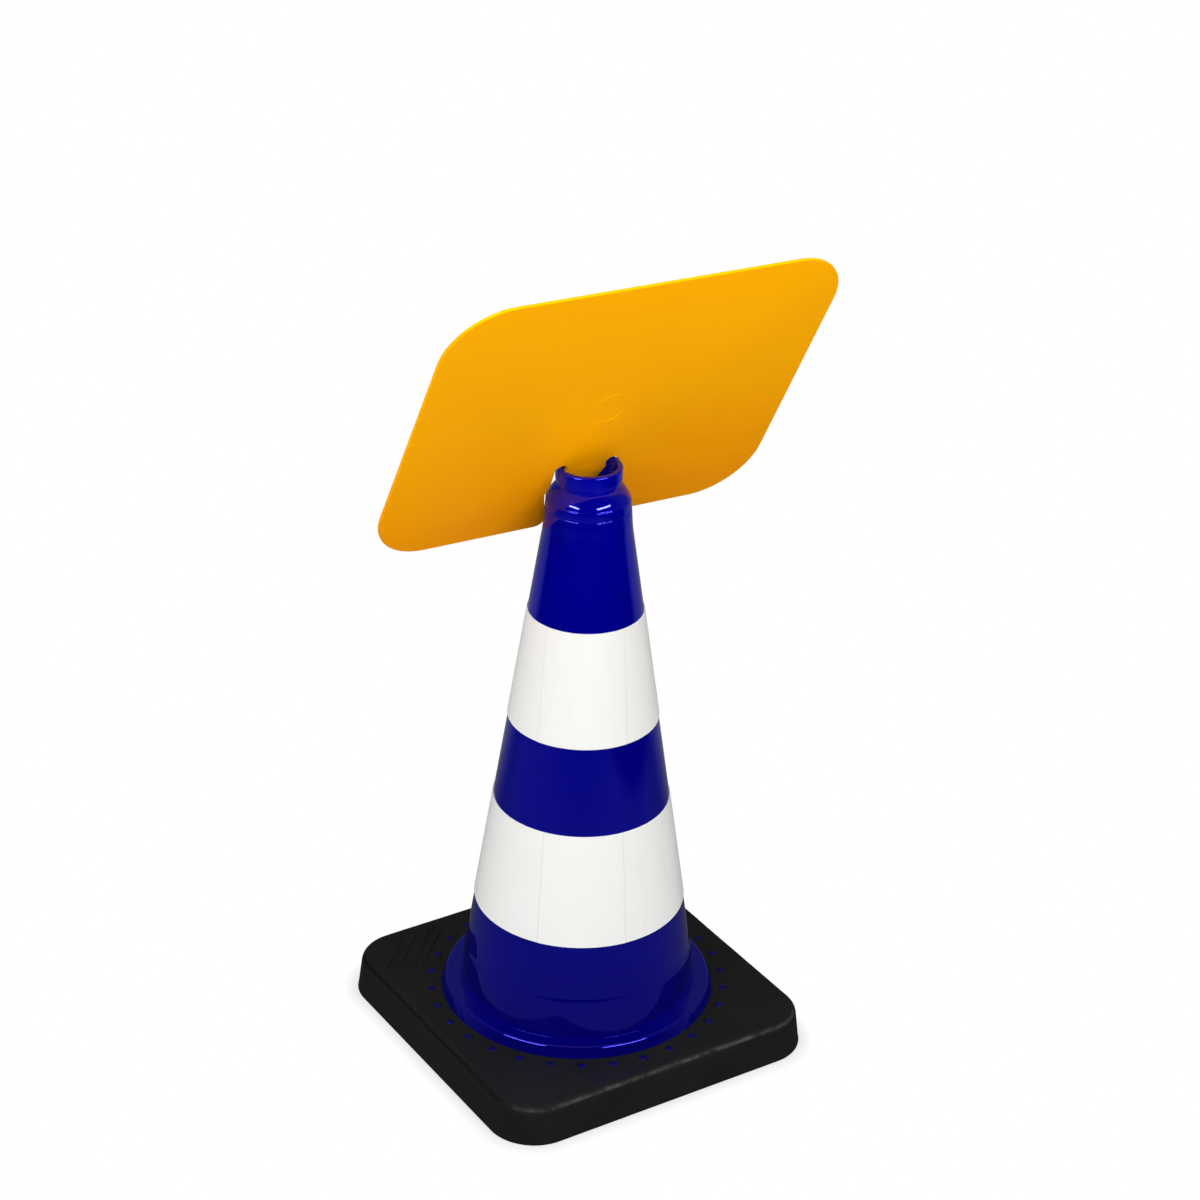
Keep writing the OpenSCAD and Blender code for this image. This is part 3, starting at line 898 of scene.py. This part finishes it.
def flat_outline(node, place, height):
    """The longest edge loop of a CAD node's flat face at a height in the sign's frame, in millimetres."""
    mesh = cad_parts[node].data
    turn = place.inverted()
    local = [turn @ (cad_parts[node].matrix_world @ v.co) / MM for v in mesh.vertices]
    keys = {}
    ids = []
    for p in local:
        key = (round(p.x, 3), round(p.y, 3), round(p.z, 2))
        ids.append(keys.setdefault(key, len(keys)))
    points = {}
    for p, i in zip(local, ids):
        points[i] = p
    used = {}
    for polygon in mesh.polygons:
        corners = [ids[v] for v in polygon.vertices]
        if any(abs(points[i].z - height) > 0.05 for i in corners):
            continue
        for a, b in zip(corners, corners[1:] + corners[:1]):
            used[(a, b)] = True
    border = {a: b for a, b in used if (b, a) not in used}
    loops = []
    while border:
        first = next(iter(border))
        loop = [first]
        following = border.pop(first)
        while following != first:
            loop.append(following)
            following = border.pop(following)
        loops.append(loop)
    longest = max(loops, key=len)
    outline = [(points[i].x, points[i].y) for i in longest]
    area = sum(a[0] * b[1] - b[0] * a[1] for a, b in zip(outline, outline[1:] + outline[:1]))
    return outline if area > 0 else outline[::-1]


def rounder(outline, parts=4):
    """The outline with its arcs made finer. Straight runs and sharp corners stay."""
    count = len(outline)

    def step(i):
        a = Vector(outline[i % count])
        b = Vector(outline[(i + 1) % count])
        return b - a

    def tangent(i):
        before = step(i - 1)
        after = step(i)
        if before.length > 2 * after.length:
            return before.normalized()
        if after.length > 2 * before.length:
            return after.normalized()
        return (before.normalized() + after.normalized()).normalized()

    fine = []
    for i in range(count):
        a = Vector(outline[i])
        chord = step(i)
        fine.append(tuple(a))
        turn_a = abs(step(i - 1).angle_signed(chord, 0))
        turn_b = abs(chord.angle_signed(step(i + 1), 0))
        straight = chord.length > 2 * min(step(i - 1).length, step(i + 1).length)
        if straight or max(turn_a, turn_b) > math.radians(24) or max(turn_a, turn_b) < math.radians(2):
            continue
        b = a + chord
        ta = tangent(i) * chord.length
        tb = tangent((i + 1) % count) * chord.length
        for k in range(1, parts):
            t = k / parts
            p = ((2 * t ** 3 - 3 * t ** 2 + 1) * a + (t ** 3 - 2 * t ** 2 + t) * ta
                 + (3 * t ** 2 - 2 * t ** 3) * b + (t ** 3 - t ** 2) * tb)
            fine.append(tuple(p))
    return fine


def inset_outline(outline, inset):
    """The outline moved inwards."""
    count = len(outline)
    moved = []
    for i in range(count):
        p = Vector(outline[i])
        before = (p - Vector(outline[i - 1])).normalized()
        after = (Vector(outline[(i + 1) % count]) - p).normalized()
        n0 = Vector((-before.y, before.x))
        n1 = Vector((-after.y, after.x))
        normal = n0 + n1
        normal = normal.normalized() / max(0.5, math.cos(n0.angle(n1, 0) / 2))
        moved.append(tuple(p + normal * inset))
    return moved


def plate(outline, front, back, edge):
    """A flat plate between two heights, with rounded edges all round."""
    verts = []
    faces = []
    rings = []
    section = [(edge - x, front + edge - y) for x, y in arc(0, 0, edge, edge, 90, 0, 4)]
    section += [(edge - x, back - edge + y) for x, y in arc(0, 0, edge, edge, 0, 90, 4)]
    for inset, z in section:
        points = inset_outline(outline, inset)
        rings.append(add_ring(verts, [(x, y, z) for x, y in points]))
    for low, high in zip(rings, rings[1:]):
        bridge(faces, low, high)
    fill(verts, faces, rings[-1])
    fill(verts, faces, rings[0], upward=False)
    return verts, faces


def build_board(place):
    outline = rounder(flat_outline("sign_board", place, 0.0))
    verts, faces = plate(outline, -BOARD_THICKNESS, 0.0, BOARD_EDGE)
    finish_mesh("board_plate", verts, faces, "sign", BOARD_PLASTIC, "sign_board", place)


def build_gate(place):
    """The thin moulded ring on the board's back and the small mark of the gate in it."""
    mx, my = BOARD_MIDDLE
    ring = []
    for out, z in ((-0.5, -0.5), (0.5, -0.5), (0.5, 0.15),
                   (0.3, GATE_RING_RISE), (-0.3, GATE_RING_RISE), (-0.5, 0.15)):
        ring.append((GATE_RING_RADIUS + out, z))
    verts, faces = lathe(ring, GATE_RING_STEPS)
    verts = [(x + mx, y + my, z) for x, y, z in verts]
    start = (mx - 1.0, my - 0.6)
    end = (mx + 1.0, my + 0.6)
    parts = [(verts, faces), bar_mesh(start, end, GATE_MARK_WIDTH, GATE_MARK_RISE, 0.6, 0.0)]
    verts, faces = join(parts)
    finish_mesh("board_gate_ring", verts, faces, "sign", BOARD_PLASTIC, None, place)


def build_face(place):
    """The film on the board's face and the plain border on it, which stands a little proud."""
    front = -BOARD_THICKNESS - FILM_THICKNESS
    outline = rounder(flat_outline("sign_face_film", place, front))
    verts, faces = plate(outline, front + BORDER_RISE, -BOARD_THICKNESS + FILM_GLUE, FILM_EDGE_ROUNDING)
    finish_mesh("face_sheet", verts, faces, "sign", FACE_FILM, "sign_face_film", place)
    outer = inset_outline(outline, BORDER_OUTER_INSET)
    inner = inset_outline(outline, BORDER_INNER_INSET)
    sunk = front + BORDER_DEPTH
    verts = []
    faces = []
    rings = [add_ring(verts, [(x, y, z) for x, y in line])
             for line, z in ((outer, sunk), (outer, front), (inner, front), (inner, sunk))]
    for low, high in zip(rings, rings[1:] + rings[:1]):
        bridge(faces, high, low)
    finish_mesh("face_border", verts, faces, "sign", BORDER_FILM, None, place)


# Stage

# Places and lengths on the stage are in metres, and angles in degrees
CAMERA_AZIMUTH = -122.7
CAMERA_PLACE = (-1.1567, -1.8029, 1.5038)
CAMERA_HEADING = -32.973
CAMERA_DOWN = 27.546
CAMERA_ROLL = 1.532
CAMERA_LENS_MM = 93.384
CAMERA_SENSOR_MM = 36
FLOOR_HALF = 6.0
SHADOW_REACH = 0.012
SHADOW_WHITE = 0.65
TABLE_GREY = (0.60, 0.64)
TABLE_BEYOND_GREY = 0.06
MIRRORED_TABLE = 0.11
MIRRORED_BEYOND = 0.004
MIRRORED_BACK = 0.2
ROOM_LIGHT = 0.2
MIRRORED_ROOM = (0.12, 0.01)
LAMP_AIM = (0, 0, 0.28)
LEFT_STRIP_WAY = (-0.794, -0.154, 0.588)
RIGHT_STRIP_WAY = (0.182, -0.788, 0.588)
STRIP_SIZE = (0.75, 0.10)
STRIP_RADIANCE = 23.0
MOUTH_SPOT_WAY = (-0.468, -0.729, 0.5)
MOUTH_SPOT_DISTANCE = 0.9
MOUTH_SPOT_WATTS = 20.0
MOUTH_SPOT_ANGLE = 4.5


def floor_place(nodes, links):
    """Places on the floor: X to the right in the picture and Y away from the camera."""
    coords = nodes.new("ShaderNodeTexCoord")
    turn = nodes.new("ShaderNodeMapping")
    turn.inputs["Rotation"].default_value = (0, 0, math.radians(-90 - CAMERA_AZIMUTH))
    links.new(coords.outputs["Object"], turn.inputs["Vector"])
    return split(nodes, links, turn.outputs["Vector"])


def table_share(nodes, links, places):
    """1 on the white table and 0 beyond it, where the dark room begins. It ends nearer on the right."""
    right = map_range(nodes, links, places["X"], (0.72, 0.84), (1.0, 0.0))
    left = map_range(nodes, links, places["X"], (-1.4, -0.9), (0.0, 1.0))
    front = map_range(nodes, links, places["Y"], (-1.7, -0.7), (0.0, 1.0))
    back = map_range(nodes, links, places["Y"], (0.0, 0.35), (1.0, 0.25))
    across = math_node(nodes, links, "MULTIPLY", right, left)
    along = math_node(nodes, links, "MULTIPLY", front, back)
    return math_node(nodes, links, "MULTIPLY", across, along)


def base_distance(nodes, links):
    """How far a place on the floor lies outside the base, whose corners are round."""
    parts = split(nodes, links, object_place(nodes, links))
    middle = (BASE_SIDE / 2 - BASE_CORNER) * MM
    squares = []
    for axis in ("X", "Y"):
        size = math_node(nodes, links, "ABSOLUTE", parts[axis])
        past = math_node(nodes, links, "MAXIMUM", math_node(nodes, links, "SUBTRACT", size, middle))
        squares.append(math_node(nodes, links, "MULTIPLY", past, past))
    reach = math_node(nodes, links, "SQRT", math_node(nodes, links, "ADD", *squares))
    return math_node(nodes, links, "SUBTRACT", reach, BASE_CORNER * MM)


def mix_shaders(nodes, links, share, first, second):
    """Two shaders mixed by a share from 0 to 1."""
    node = nodes.new("ShaderNodeMixShader")
    links.new(share, node.inputs["Fac"])
    links.new(first, node.inputs[1])
    links.new(second, node.inputs[2])
    return node.outputs["Shader"]


def mirrored_floor(nodes, links, places, table):
    """What gloss shows of the floor: a dim table in a dark room, and a paler backdrop behind."""
    near = mix_colour(nodes, links, table, grey(MIRRORED_BEYOND), grey(MIRRORED_TABLE))
    behind = map_range(nodes, links, places["Y"], (0.25, 0.5), (0.0, 1.0))
    node = nodes.new("ShaderNodeEmission")
    links.new(mix_colour(nodes, links, behind, near, grey(MIRRORED_BACK)), node.inputs["Color"])
    return node.outputs["Emission"]


def floor_white():
    """A white table in a dark room. The camera sees white beyond the object's shadow."""
    material, nodes, links = new_material("floor_white")
    shader = nodes["Principled BSDF"]
    cloud = noise_texture(nodes, links, object_place(nodes, links), scale=3, detail=3)
    low, high = TABLE_GREY
    table_grey = two_tone(nodes, links, cloud, grey(low), grey(high))
    places = floor_place(nodes, links)
    table = table_share(nodes, links, places)
    colour = mix_colour(nodes, links, table, grey(TABLE_BEYOND_GREY), table_grey)
    links.new(colour, shader.inputs["Base Color"])
    shader.inputs["Roughness"].default_value = 0.9
    shader.inputs["Specular IOR Level"].default_value = 0.1
    mirrored = mirrored_floor(nodes, links, places, table)
    white = nodes.new("ShaderNodeEmission")
    white.inputs["Color"].default_value = (1, 1, 1, 1)
    white.inputs["Strength"].default_value = 1.0
    away = base_distance(nodes, links)
    clear = map_range(nodes, links, away, (0.0, SHADOW_REACH), (SHADOW_WHITE, 1.0))
    rays = nodes.new("ShaderNodeLightPath").outputs
    share = math_node(nodes, links, "MULTIPLY", clear, rays["Is Camera Ray"])
    lit = mix_shaders(nodes, links, rays["Is Glossy Ray"], shader.outputs["BSDF"], mirrored)
    seen = mix_shaders(nodes, links, share, lit, white.outputs["Emission"])
    links.new(seen, nodes["Material Output"].inputs["Surface"])
    return material


def build_floor():
    half = FLOOR_HALF
    corners = [(-half, -half, 0), (half, -half, 0), (half, half, 0), (-half, half, 0)]
    mesh = bpy.data.meshes.new("floor")
    mesh.from_pydata(corners, [], [(0, 1, 2, 3)])
    mesh.materials.append(floor_white())
    floor = bpy.data.objects.new("floor", mesh)
    bpy.context.scene.collection.objects.link(floor)


def place_lamp(name, light, aim, direction, distance, mirrored):
    """Sets a lamp out from its aim in a direction. Gloss shows it only if mirrored."""
    obj = bpy.data.objects.new(name, light)
    bpy.context.scene.collection.objects.link(obj)
    away = Vector(direction).normalized()
    obj.location = Vector(aim) + away * distance
    obj.rotation_euler = away.to_track_quat("Z", "Y").to_euler()
    obj.visible_glossy = mirrored


def area_light(name, direction, distance, size, radiance, mirrored=False):
    """A rectangular lamp, given by the direction in which it stands."""
    light = bpy.data.lights.new(name, "AREA")
    light.shape = "RECTANGLE"
    light.size, light.size_y = size
    light.energy = radiance * math.pi * size[0] * size[1]
    place_lamp(name, light, LAMP_AIM, direction, distance, mirrored)


def mouth_light():
    """A small soft spot on the tongue and the board round the cone's mouth, from the camera's side."""
    light = bpy.data.lights.new("mouth_spot", "SPOT")
    light.energy = MOUTH_SPOT_WATTS
    light.spot_size = math.radians(MOUTH_SPOT_ANGLE)
    light.spot_blend = 1.0
    light.shadow_soft_size = 0.03
    rim = (0, 0, CONE_HEIGHT * MM)
    place_lamp("mouth_spot", light, rim, MOUTH_SPOT_WAY, MOUTH_SPOT_DISTANCE, False)


def background(nodes, strength):
    """A white background of a strength."""
    node = nodes.new("ShaderNodeBackground")
    node.inputs["Color"].default_value = (1, 1, 1, 1)
    node.inputs["Strength"].default_value = strength
    return node.outputs["Background"]


def mirrored_room(nodes, links):
    """What gloss shows of the room: dim behind the object and dark on the camera's side."""
    coords = nodes.new("ShaderNodeTexCoord")
    ahead = nodes.new("ShaderNodeVectorMath")
    ahead.operation = "DOT_PRODUCT"
    turn = math.radians(CAMERA_AZIMUTH)
    ahead.inputs[1].default_value = (math.cos(turn), math.sin(turn), 0)
    links.new(coords.outputs["Generated"], ahead.inputs[0])
    node = nodes.new("ShaderNodeBackground")
    shade = map_range(nodes, links, ahead.outputs["Value"], (-0.3, 0.4), MIRRORED_ROOM)
    links.new(shade, node.inputs["Color"])
    return node.outputs["Background"]


def build_world():
    """Even light from the room. The camera sees white, and gloss sees a dim room."""
    world = bpy.data.worlds.new("studio")
    world.use_nodes = True
    nodes = world.node_tree.nodes
    links = world.node_tree.links
    nodes.remove(nodes["Background"])
    rays = nodes.new("ShaderNodeLightPath").outputs
    room = background(nodes, ROOM_LIGHT)
    lit = mix_shaders(nodes, links, rays["Is Glossy Ray"], room, mirrored_room(nodes, links))
    seen = mix_shaders(nodes, links, rays["Is Camera Ray"], lit, background(nodes, 1.0))
    links.new(seen, nodes["World Output"].inputs["Surface"])
    bpy.context.scene.world = world


def build_lights():
    """Two strips that show as highlights, and soft lamps that gloss doesn't show."""
    mouth_light()
    area_light("left_strip", LEFT_STRIP_WAY, 1.25, STRIP_SIZE, STRIP_RADIANCE, mirrored=True)
    area_light("right_strip", RIGHT_STRIP_WAY, 1.25, STRIP_SIZE, STRIP_RADIANCE, mirrored=True)
    area_light("left_fill", (-0.975, 0.22, 0.15), 1.6, (1.2, 1.0), 1.6)
    area_light("right_fill", (0.606, -0.795, 0.15), 1.6, (1.2, 1.0), 1.3)
    area_light("low_front", (-0.54, -0.84, 0.12), 2.2, (2.0, 1.0), 1.2)
    area_light("high_front", (-0.54, -0.84, 0.5), 2.2, (1.2, 0.8), 1.8)
    area_light("overhead", (0.1, 0.1, 1.0), 2.3, (2.4, 2.4), 1.3)
    build_world()


def build_camera():
    camera = bpy.data.cameras.new("camera")
    camera.sensor_width = CAMERA_SENSOR_MM
    camera.lens = CAMERA_LENS_MM
    obj = bpy.data.objects.new("camera", camera)
    bpy.context.scene.collection.objects.link(obj)
    turn = (Matrix.Rotation(math.radians(CAMERA_HEADING), 4, "Z")
            @ Matrix.Rotation(math.radians(90 - CAMERA_DOWN), 4, "X")
            @ Matrix.Rotation(math.radians(CAMERA_ROLL), 4, "Z"))
    obj.matrix_world = Matrix.Translation(CAMERA_PLACE) @ turn
    bpy.context.scene.camera = obj
    bpy.context.scene.view_settings.view_transform = "Standard"


SIGN_PLACE = sign_place()
build_base()
build_base_relief()
build_cone()
build_studs()
build_sleeve("lower_sleeve_band", "lower_sleeve", LOWER_SLEEVE_Z, LOWER_LAP)
build_sleeve("upper_sleeve_band", "upper_sleeve", UPPER_SLEEVE_Z, UPPER_LAP)
build_board(SIGN_PLACE)
build_gate(SIGN_PLACE)
build_face(SIGN_PLACE)
build_floor()
build_lights()
build_camera()
